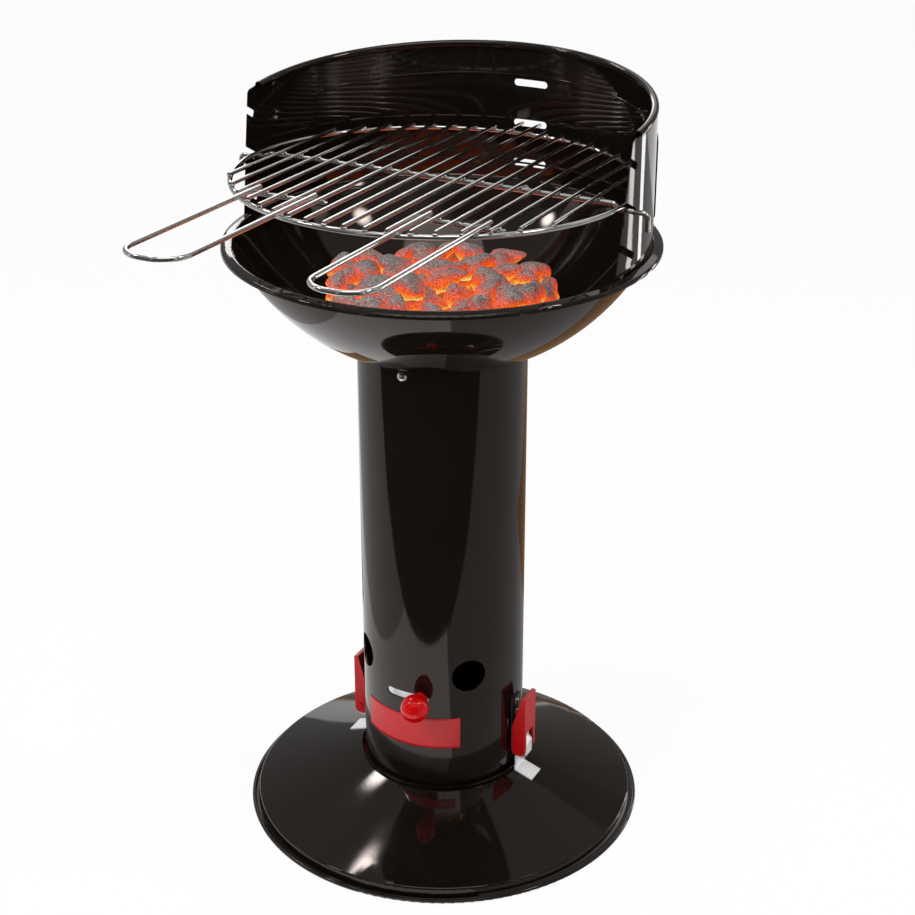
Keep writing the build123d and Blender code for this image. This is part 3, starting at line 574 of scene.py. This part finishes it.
def charcoal_tree():
    tree = bpy.data.node_groups.new("charcoal_heap", "GeometryNodeTree")
    ends = sockets(
        tree,
        [
            ("Geometry", "Geometry"),
            ("Lump Radius", "Float"),
            ("Wave Depth", "Float"),
            ("Heap Top", "Float"),
            ("Heap Fall", "Float"),
            ("Seed", "Int"),
            ("Finish", "Material"),
        ],
        [("Geometry", "Geometry")],
    )
    link = tree.links.new
    given = ends[0].outputs
    spot = place(tree, "GeometryNodeInputPosition")
    out = place(tree, "GeometryNodeInputNormal")
    # Seven broken shapes: hulls of a few scattered corners, with their edges worn round.
    shapes = place(tree, "GeometryNodeJoinGeometry")
    for index in range(lump_shapes):
        corners = place(tree, "GeometryNodeMeshIcoSphere", {"Subdivisions": 1})
        jolt = random_vector(tree, [-lump_jolt] * 3, [lump_jolt] * 3)
        jolt.inputs["Seed"].default_value = shape_seed + index
        sized = place(tree, "ShaderNodeVectorMath", operation="SCALE")
        scattered = place(tree, "GeometryNodeSetPosition")
        hull = place(tree, "GeometryNodeConvexHull")
        fine = place(tree, "GeometryNodeSubdivideMesh", {"Level": 2})
        worn = place(
            tree, "GeometryNodeBlurAttribute", {"Iterations": 3}, data_type="FLOAT_VECTOR"
        )
        rounded = place(tree, "GeometryNodeSetPosition")
        shape = place(tree, "GeometryNodeGeometryToInstance")
        link(given["Lump Radius"], corners.inputs["Radius"])
        link(jolt.outputs[0], sized.inputs[0])
        link(given["Lump Radius"], sized.inputs["Scale"])
        link(corners.outputs["Mesh"], scattered.inputs["Geometry"])
        link(sized.outputs["Vector"], scattered.inputs["Offset"])
        link(scattered.outputs["Geometry"], hull.inputs["Geometry"])
        link(hull.outputs["Convex Hull"], fine.inputs["Mesh"])
        position = next(s for s in worn.inputs if s.enabled and s.name == "Value")
        link(spot.outputs["Position"], position)
        link(fine.outputs["Mesh"], rounded.inputs["Geometry"])
        link(next(s for s in worn.outputs if s.enabled), rounded.inputs["Position"])
        link(rounded.outputs["Geometry"], shape.inputs["Geometry"])
        link(shape.outputs["Instances"], shapes.inputs["Geometry"])
    put = place(tree, "GeometryNodeInstanceOnPoints", {"Pick Instance": True})
    choice = place(tree, "FunctionNodeRandomValue", {4: 0, 5: lump_shapes - 1}, data_type="INT")
    stretch = random_vector(tree, lump_least, lump_most)
    turn = random_vector(tree, (-lump_tilt, -lump_tilt, 0.0), (lump_tilt, lump_tilt, whole_turn))
    middle = place(tree, "ShaderNodeSeparateXYZ")
    number = place(tree, "FunctionNodeRandomValue", data_type="FLOAT")
    keep_middle = stored(tree, "middle", "INSTANCE")
    keep_number = stored(tree, "lump", "INSTANCE")
    real = place(tree, "GeometryNodeRealizeInstances")
    link(given["Geometry"], put.inputs["Points"])
    link(shapes.outputs["Geometry"], put.inputs["Instance"])
    link(choice.outputs[2], put.inputs["Instance Index"])
    link(stretch.outputs[0], put.inputs["Scale"])
    link(turn.outputs[0], put.inputs["Rotation"])
    for dice in (choice, stretch, turn, number):
        link(given["Seed"], dice.inputs["Seed"])
    link(spot.outputs["Position"], middle.inputs[0])
    link(put.outputs["Instances"], keep_middle.inputs["Geometry"])
    link(middle.outputs["Z"], keep_middle.inputs["Value"])
    link(keep_middle.outputs["Geometry"], keep_number.inputs["Geometry"])
    link(number.outputs[1], keep_number.inputs["Value"])
    link(keep_number.outputs["Geometry"], real.inputs["Geometry"])
    # Hollows and humps, different on each lump.
    own = place(tree, "GeometryNodeInputNamedAttribute", {"Name": "lump"}, data_type="FLOAT")
    shift = place(tree, "ShaderNodeMath", {1: wave_spread}, operation="MULTIPLY")
    waves = place(
        tree,
        "ShaderNodeTexNoise",
        {"Scale": 70.0, "Detail": 3.0, "Roughness": 0.55},
        noise_dimensions="4D",
    )
    link(own.outputs["Attribute"], shift.inputs[0])
    link(spot.outputs["Position"], waves.inputs["Vector"])
    link(shift.outputs["Value"], waves.inputs["W"])
    broken = pushed_out(tree, real.outputs["Geometry"], waves.outputs["Fac"], given["Wave Depth"])
    # A point glows more the lower it lies on its lump, the more it faces down and the deeper it
    # is in the heap.
    split = place(tree, "ShaderNodeSeparateXYZ")
    lean = place(tree, "ShaderNodeSeparateXYZ")
    centre = place(tree, "GeometryNodeInputNamedAttribute", {"Name": "middle"}, data_type="FLOAT")
    above = place(tree, "ShaderNodeMath", operation="SUBTRACT")
    share = place(tree, "ShaderNodeMath", operation="DIVIDE")
    first = place(
        tree, "ShaderNodeMath", {1: glow_by_height, 2: glow_start}, operation="MULTIPLY_ADD"
    )
    second = place(tree, "ShaderNodeMath", {1: glow_by_lean}, operation="MULTIPLY_ADD")
    flat = place(tree, "ShaderNodeVectorMath", {1: (1.0, 1.0, 0.0)}, operation="MULTIPLY")
    square = place(tree, "ShaderNodeVectorMath", operation="DOT_PRODUCT")
    fallen = place(tree, "ShaderNodeMath", operation="MULTIPLY")
    dome = place(tree, "ShaderNodeMath", operation="SUBTRACT")
    sunk = place(tree, "ShaderNodeMath", operation="SUBTRACT")
    third = place(tree, "ShaderNodeMath", {1: glow_by_depth}, operation="MULTIPLY_ADD")
    glow = stored(tree, "ember", "POINT")
    link(spot.outputs["Position"], split.inputs[0])
    link(out.outputs["Normal"], lean.inputs[0])
    link(split.outputs["Z"], above.inputs[0])
    link(centre.outputs["Attribute"], above.inputs[1])
    link(above.outputs["Value"], share.inputs[0])
    link(given["Lump Radius"], share.inputs[1])
    link(share.outputs["Value"], first.inputs[0])
    link(lean.outputs["Z"], second.inputs[0])
    link(first.outputs["Value"], second.inputs[2])
    link(spot.outputs["Position"], flat.inputs[0])
    for socket in square.inputs[:2]:
        link(flat.outputs["Vector"], socket)
    link(square.outputs["Value"], fallen.inputs[0])
    link(given["Heap Fall"], fallen.inputs[1])
    link(given["Heap Top"], dome.inputs[0])
    link(fallen.outputs["Value"], dome.inputs[1])
    link(dome.outputs["Value"], sunk.inputs[0])
    link(split.outputs["Z"], sunk.inputs[1])
    link(sunk.outputs["Value"], third.inputs[0])
    link(second.outputs["Value"], third.inputs[2])
    link(broken, glow.inputs["Geometry"])
    link(third.outputs["Value"], glow.inputs["Value"])
    coated(tree, glow.outputs["Geometry"], given["Finish"], ends[1])
    return tree


def ember_finish(name):
    coat, tree, shader = finish(name)
    link = tree.links.new
    spot = place(tree, "ShaderNodeTexCoord")
    ember = place(tree, "ShaderNodeAttribute", attribute_name="ember")
    speckle = place(tree, "ShaderNodeTexNoise", {"Scale": 850.0, "Detail": 2.0, "Roughness": 0.7})
    patch = place(tree, "ShaderNodeTexNoise", {"Scale": 48.0, "Detail": 3.0, "Roughness": 0.6})
    ash = place(tree, "ShaderNodeMapRange", {"From Min": 0.38, "From Max": 0.62})
    grey = two_tones(tree, (0.035, 0.03, 0.028), (0.44, 0.4, 0.38))
    uneven = place(tree, "ShaderNodeMath", {1: patch_share}, operation="MULTIPLY_ADD")
    heat = place(tree, "ShaderNodeMath", {1: speckle_share}, operation="MULTIPLY_ADD")
    scale = place(tree, "ShaderNodeMath", {1: heat_scale, 2: heat_shift}, operation="MULTIPLY_ADD")
    burnt = place(
        tree,
        "ShaderNodeMapRange",
        {"From Min": 0.1, "From Max": 0.6, "To Min": 1.0, "To Max": 0.2},
    )
    colour = tone_product(tree)
    fire = place(tree, "ShaderNodeValToRGB")
    fire.color_ramp.elements[0].color = (0, 0, 0, 1)
    fire.color_ramp.elements[1].color = (1.0, 0.68, 0.2, 1)
    for where, tint in (
        (0.14, (0.1, 0.007, 0.003, 1)),
        (0.3, (0.45, 0.03, 0.006, 1)),
        (0.46, (0.85, 0.07, 0.005, 1)),
        (0.62, (1.0, 0.14, 0.008, 1)),
        (0.78, (1.0, 0.34, 0.04, 1)),
    ):
        fire.color_ramp.elements.new(where).color = tint
    specked = place(
        tree,
        "ShaderNodeMapRange",
        {"From Min": 0.36, "From Max": 0.58, "To Min": 0.45, "To Max": 1.1},
    )
    light = tone_product(tree)
    bump = place(tree, "ShaderNodeBump", {"Strength": 0.6, "Distance": 0.0007})
    for texture in (speckle, patch):
        link(spot.outputs["Object"], texture.inputs["Vector"])
    link(speckle.outputs["Fac"], ash.inputs["Value"])
    link(ash.outputs["Result"], grey.inputs["Factor"])
    link(patch.outputs["Fac"], uneven.inputs[0])
    link(ember.outputs["Fac"], uneven.inputs[2])
    link(speckle.outputs["Fac"], heat.inputs[0])
    link(uneven.outputs["Value"], heat.inputs[2])
    link(heat.outputs["Value"], scale.inputs[0])
    link(scale.outputs["Value"], fire.inputs["Fac"])
    link(scale.outputs["Value"], burnt.inputs["Value"])
    link(grey.outputs["Result"], colour.inputs["A"])
    link(burnt.outputs["Result"], colour.inputs["B"])
    link(colour.outputs["Result"], shader.inputs["Base Color"])
    link(speckle.outputs["Fac"], specked.inputs["Value"])
    link(fire.outputs["Color"], light.inputs["A"])
    link(specked.outputs["Result"], light.inputs["B"])
    link(light.outputs["Result"], shader.inputs["Emission Color"])
    link(speckle.outputs["Fac"], bump.inputs["Height"])
    link(bump.outputs["Normal"], shader.inputs["Normal"])
    shader.inputs["Emission Strength"].default_value = 1.0
    shader.inputs["Roughness"].default_value = 0.9
    shader.inputs["Specular IOR Level"].default_value = 0.2
    return coat


def made_by(tree, points, name, values):
    seeds = bpy.data.meshes.new(name + "_points")
    seeds.from_pydata(points, [], [])
    maker = new_piece(name + "_points", seeds)
    step = maker.modifiers.new("make", "NODES")
    step.node_group = tree
    set_inputs(step, values)
    ready = maker.evaluated_get(bpy.context.evaluated_depsgraph_get())
    mesh = bpy.data.meshes.new_from_object(ready)
    mesh.name = name
    maker.modifiers.remove(step)
    bpy.data.objects.remove(maker)
    return new_piece(name, mesh)


burning_charcoal = ember_finish("burning_charcoal")
heap = made_by(charcoal_tree(), heap_points(), "charcoal_heap", {
    "Lump Radius": lump_radius,
    "Wave Depth": 0.006,
    "Heap Top": heap_top,
    "Heap Fall": heap_fall,
    "Seed": 5,
    "Finish": burning_charcoal,
})
# The lumps rest on the grate and on the bowl's wall, which rises from wall_start outwards.
# Where they lie on the grate they are burnt out and dark.
wall_start, wall_low, wall_slope, wall_curve = 0.0935, 0.5468, 0.171, 6.51
burnt_out, burnt_level = 0.006, -0.3
for point, ember in zip(heap.data.vertices, heap.data.attributes["ember"].data):
    rise = max(0.0, math.hypot(point.co.x, point.co.y) - wall_start)
    point.co.z = max(point.co.z, heap_floor, wall_low + rise * (wall_slope + wall_curve * rise))
    if point.co.z < heap_floor + burnt_out:
        ember.value = min(ember.value, burnt_level)
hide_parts("charcoal")
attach(heap, "coal_grate")

# Cooking grid: bright plated wires welded to a ring, with two handles. It leans a little, front
# higher. Each place where one wire lies on another has a small uneven weld.
chrome_wire = plated_finish(
    "chrome_wire",
    bright=(0.86, 0.85, 0.83),
    dull_tone=(0.7, 0.67, 0.64),
    smooth=0.08,
    dull=0.2,
    brush_scale=(300, 300, 300),
    brush_depth=0.00008,
)
dress(["grid_ring", "grid_bars", "grid_cross_wire", "grid_stub_wires"], chrome_wire)
dress(["grid_handle_left", "grid_handle_right"], chrome_wire)
ring_low, ring_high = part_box("grid_ring")
grid_middle = [(low + high) / 2 for low, high in zip(ring_low, ring_high)]
ring_radius, grid_lean = 0.1975, math.radians(1.7)
weld_level, stub_row = 0.0028, -0.131
weld_least, weld_most = (1.15, 1.0, 0.7), (1.6, 1.5, 0.95)
bar_places = [millimetres / 1000 for millimetres in range(-170, 171, 20)]
handle_places = (-0.12, -0.06, 0.06, 0.12)
stub_places = (0.05, 0.07, 0.09, 0.11, 0.13)


def ring_reach(x):
    return math.sqrt(ring_radius**2 - x**2)


def weld_points():
    flat = [(x, 0.0) for x in bar_places]
    for x in bar_places:
        flat += [(x, -ring_reach(x)), (x, ring_reach(x))]
    for x in handle_places:
        flat += [(x, -ring_reach(x)), (x, stub_row)]
    for x in stub_places:
        flat += [(x, stub_row), (-x, stub_row)]
    lean_cos, lean_sin = math.cos(grid_lean), math.sin(grid_lean)
    return [
        (
            grid_middle[0] + x,
            grid_middle[1] + y * lean_cos + weld_level * lean_sin,
            grid_middle[2] - y * lean_sin + weld_level * lean_cos,
        )
        for x, y in flat
    ]


def weld_tree():
    tree = bpy.data.node_groups.new("welds", "GeometryNodeTree")
    ends = sockets(
        tree,
        [
            ("Geometry", "Geometry"),
            ("Weld Radius", "Float"),
            ("Lump Depth", "Float"),
            ("Seed", "Int"),
            ("Finish", "Material"),
        ],
        [("Geometry", "Geometry")],
    )
    link = tree.links.new
    given = ends[0].outputs
    drop = place(tree, "GeometryNodeMeshIcoSphere", {"Subdivisions": 3})
    put = place(tree, "GeometryNodeInstanceOnPoints")
    stretch = random_vector(tree, weld_least, weld_most)
    real = place(tree, "GeometryNodeRealizeInstances")
    spot = place(tree, "GeometryNodeInputPosition")
    waves = place(tree, "ShaderNodeTexNoise", {"Scale": 700.0, "Detail": 2.0})
    link(given["Weld Radius"], drop.inputs["Radius"])
    link(given["Geometry"], put.inputs["Points"])
    link(drop.outputs["Mesh"], put.inputs["Instance"])
    link(stretch.outputs[0], put.inputs["Scale"])
    link(given["Seed"], stretch.inputs["Seed"])
    link(put.outputs["Instances"], real.inputs["Geometry"])
    link(spot.outputs["Position"], waves.inputs["Vector"])
    uneven = pushed_out(tree, real.outputs["Geometry"], waves.outputs["Fac"], given["Lump Depth"])
    coated(tree, uneven, given["Finish"], ends[1])
    return tree


welds = made_by(weld_tree(), weld_points(), "grid_welds", {
    "Weld Radius": 0.0021,
    "Lump Depth": 0.0014,
    "Seed": 3,
    "Finish": chrome_wire,
})
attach(welds, "cooking_grid")

# Floor and light: a plain pale floor, a white surround and soft boxes. Cards round the set, dark
# ones and bright ones, which only reflections see, give the enamel something to mirror.
floor_width, floor_level, floor_white = 12.0, -0.0005, 0.93


def flat_card(name, width, depth, spot, turn):
    shape = bmesh.new()
    sides = ((-1, -1), (1, -1), (1, 1), (-1, 1))
    shape.faces.new([shape.verts.new((sx * width / 2, sy * depth / 2, 0)) for sx, sy in sides])
    mesh = bpy.data.meshes.new(name)
    shape.to_mesh(mesh)
    shape.free()
    card = new_piece(name, mesh)
    card.location = spot
    card.rotation_euler = [math.radians(angle) for angle in turn]
    return card


def seen_by_eye(tree):
    path = place(tree, "ShaderNodeLightPath")
    seen = place(tree, "ShaderNodeMath", operation="MAXIMUM")
    seen_all = place(tree, "ShaderNodeMath", operation="MAXIMUM")
    link = tree.links.new
    link(path.outputs["Is Camera Ray"], seen.inputs[0])
    link(path.outputs["Is Glossy Ray"], seen.inputs[1])
    link(seen.outputs["Value"], seen_all.inputs[0])
    link(path.outputs["Is Transmission Ray"], seen_all.inputs[1])
    return seen_all.outputs["Value"]


def shadow_white():
    coat, tree, shader = finish("pale_floor")
    link = tree.links.new
    shader.inputs["Base Color"].default_value = (0.9, 0.9, 0.9, 1)
    shader.inputs["Roughness"].default_value = 0.9
    white = place(tree, "ShaderNodeEmission", {"Color": (1, 1, 1, 1), "Strength": 1.0})
    amount = place(tree, "ShaderNodeMath", {1: floor_white}, operation="MULTIPLY")
    mixed = place(tree, "ShaderNodeMixShader")
    link(seen_by_eye(tree), amount.inputs[0])
    link(amount.outputs["Value"], mixed.inputs["Fac"])
    link(shader.outputs["BSDF"], mixed.inputs[1])
    link(white.outputs["Emission"], mixed.inputs[2])
    link(mixed.outputs["Shader"], tree.nodes["Material Output"].inputs["Surface"])
    return coat


floor = flat_card("floor", floor_width, floor_width, (0, 0, floor_level), (0, 0, 0))
floor.data.materials.append(shadow_white())


def card_finish(name, tone, width, depth):
    coat, tree, shader = finish(name)
    shader.inputs["Base Color"].default_value = (0, 0, 0, 1)
    shader.inputs["Specular IOR Level"].default_value = 0.0
    shader.inputs["Emission Color"].default_value = (*tone, 1)
    shader.inputs["Emission Strength"].default_value = 1.0
    # The lamps' cards fade out towards their edges.
    if name.startswith("lamp"):
        spot = place(tree, "ShaderNodeTexCoord")
        share = place(tree, "ShaderNodeMapping", {"Scale": (2 / width, 2 / depth, 1)})
        away = place(tree, "ShaderNodeVectorMath", operation="LENGTH")
        fade = place(
            tree,
            "ShaderNodeMapRange",
            {"From Min": 0.35, "To Min": 1.0, "To Max": 0.0},
            interpolation_type="SMOOTHSTEP",
        )
        tree.links.new(spot.outputs["Object"], share.inputs["Vector"])
        tree.links.new(share.outputs["Vector"], away.inputs[0])
        tree.links.new(away.outputs["Value"], fade.inputs["Value"])
        tree.links.new(fade.outputs["Result"], shader.inputs["Alpha"])
    return coat


for name, tone, width, depth, spot, turn in (
    ("card_floor_right", (0.36, 0.35, 0.35), 4.8, 4.0, (2.168, 1.11, 0.002), (0, 0, 27)),
    ("card_floor_left", (0.55, 0.54, 0.53), 4.4, 4.0, (-2.35, -1.2, 0.002), (0, 0, 27)),
    ("card_floor_back", (0.3, 0.17, 0.09), 0.9, 2.4, (-0.548, 1.517, 0.003), (0, 0, 27)),
    ("card_mat", (0.04, 0.04, 0.04), 4.4, 3.0, (0.24, -1.955, 0.004), (0, 0, 7)),
    ("card_front", (0.05, 0.05, 0.05), 5.0, 3.4, (1.453, -2.851, 1.7), (90, 0, 27)),
    ("card_right", (0.15, 0.15, 0.15), 2.2, 2.6, (2.64, -0.114, 1.5), (90, 0, 97)),
    ("card_right_back", (0.3, 0.3, 0.3), 2.6, 2.6, (2.7, 2.2, 1.4), (90, 0, -50)),
    ("card_left", (0.1, 0.1, 0.1), 2.4, 2.6, (-1.505, -2.113, 1.5), (90, 0, -45)),
    ("card_left_wall", (0.27, 0.27, 0.27), 4.4, 3.4, (-3.0, 1.0, 1.9), (90, 0, 90)),
    ("card_above", (0.3, 0.3, 0.3), 6.0, 5.0, (0, 0, 2.9), (180, 0, 27)),
    ("card_overhead", (2.0, 2.0, 1.95), 1.4, 1.4, (0.15, -0.35, 2.85), (180, 0, 27)),
    ("card_back_high", (0.17, 0.165, 0.16), 4.0, 2.8, (2.15, 3.0, 2.25), (90, 0, 0)),
    ("card_back_low", (0.22, 0.21, 0.2), 5.0, 1.75, (1.1, 3.0, 0.925), (90, 0, 0)),
    ("card_back", (4.5, 4.5, 4.5), 1.4, 0.7, (-2.1, 2.98, 1.8), (90, 0, 0)),
    ("strip_outer", (5.0, 5.0, 5.0), 0.1, 0.9, (0.906, 1.07, 0.45), (90, 0, -33)),
    ("strip_inner", (5.0, 5.0, 5.0), 0.12, 0.9, (0.639, 1.23, 0.45), (90, 0, -19)),
    ("lamp_right", (22, 22, 21), 0.4, 0.4, (1.37, 0.1, 2.2), (0, 42, 0)),
    ("lamp_left", (26, 26, 25), 0.3, 0.3, (-1.32, -0.81, 2.03), (0, -40, 36)),
    ("lamp_side", (26, 26, 26), 0.5, 0.16, (-1.525, 0.66, 2.046), (-174.6, -39.6, -35.2)),
    ("lamp_high", (26, 26, 26), 0.3, 0.17, (-1.069, 0.211, 2.531), (171.5, -23.6, -3.9)),
):
    card = flat_card(name, width, depth, spot, turn)
    card.data.materials.append(card_finish(name, tone, width, depth))
    for ray in ("camera", "diffuse", "shadow", "transmission", "volume_scatter"):
        setattr(card, "visible_" + ray, False)


def soft_box(name, spot, aim, width, height, watts):
    lamp = bpy.data.lights.new(name, "AREA")
    lamp.shape = "RECTANGLE"
    lamp.size, lamp.size_y = width, height
    lamp.energy = watts
    box = new_piece(name, lamp)
    box.location = spot
    box.rotation_euler = (Vector(aim) - Vector(spot)).to_track_quat("-Z", "Y").to_euler()
    box.visible_glossy = False


soft_box("box_left", (-0.883, -1.572, 1.9), (0, 0, 0.5), 0.9, 0.9, 26)
soft_box("box_right", (1.424, 0.95, 1.5), (0, 0, 0.5), 0.25, 1.3, 12)
soft_box("box_top", (0.136, -0.267, 2.5), (0, 0, 0.6), 0.7, 0.7, 16)

world = bpy.data.worlds.new("white_surround")
bpy.context.scene.world = world
world.use_nodes = True
sky = world.node_tree
sky_light = sky.nodes["Background"]
sky_light.inputs["Color"].default_value = (1, 1, 1, 1)
sky_level = place(sky, "ShaderNodeMapRange", {"To Min": 0.55, "To Max": 1.0})
sky.links.new(seen_by_eye(sky), sky_level.inputs["Value"])
sky.links.new(sky_level.outputs["Result"], sky_light.inputs["Strength"])

# Camera: stands about two metres off, at the right of the grill's front, and looks down on it
# as in the photograph. The Standard view shows colours as they are written.
view_dip, view_turn = 25.12, 26.52
lens = bpy.data.cameras.new("view")
lens.lens = 75.9
lens.sensor_width = 36.0
camera = new_piece("view", lens)
camera.location = (0.825, -1.619, 1.2593)
camera.rotation_euler = (math.radians(90 - view_dip), 0, math.radians(view_turn))
bpy.context.scene.camera = camera
bpy.context.scene.view_settings.view_transform = "Standard"
